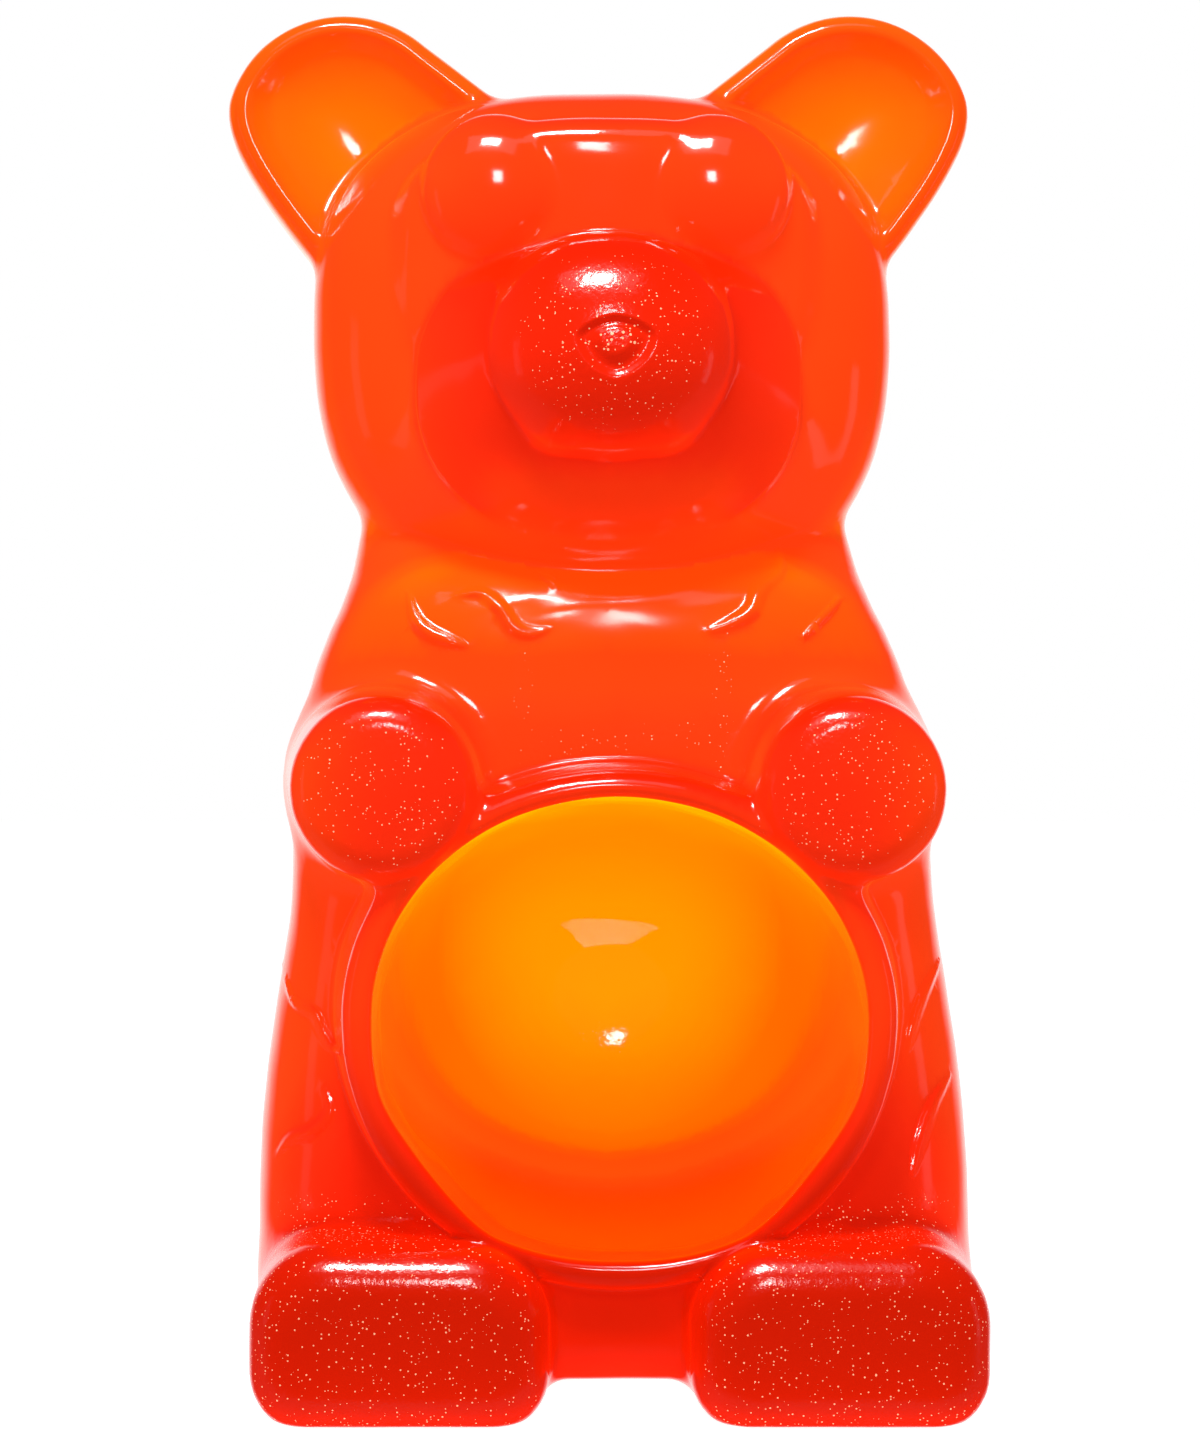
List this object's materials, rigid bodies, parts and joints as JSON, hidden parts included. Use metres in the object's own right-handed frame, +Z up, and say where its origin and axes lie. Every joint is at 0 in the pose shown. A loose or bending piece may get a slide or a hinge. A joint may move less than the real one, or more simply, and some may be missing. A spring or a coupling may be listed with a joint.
{
  "type": "giant gummy bear",
  "caption": "Giant moulded gummy bear of glossy orange jelly, standing on flat soles with short arms held forward, dished ears and a round drinking bowl sunk into its belly.",
  "frame": {"origin": "centre of the bounding box's base, at the level of the flat soles", "axes": "+Z up along the bear's height, -Y the way its face looks, +X to the right of someone who looks at its face"},
  "size_m": [0.2348, 0.1758, 0.4319],
  "materials": {
    "jelly": "gloss"
  },
  "bodies": {
    "root": {"bear": "jelly"}
  },
  "joints": []
}
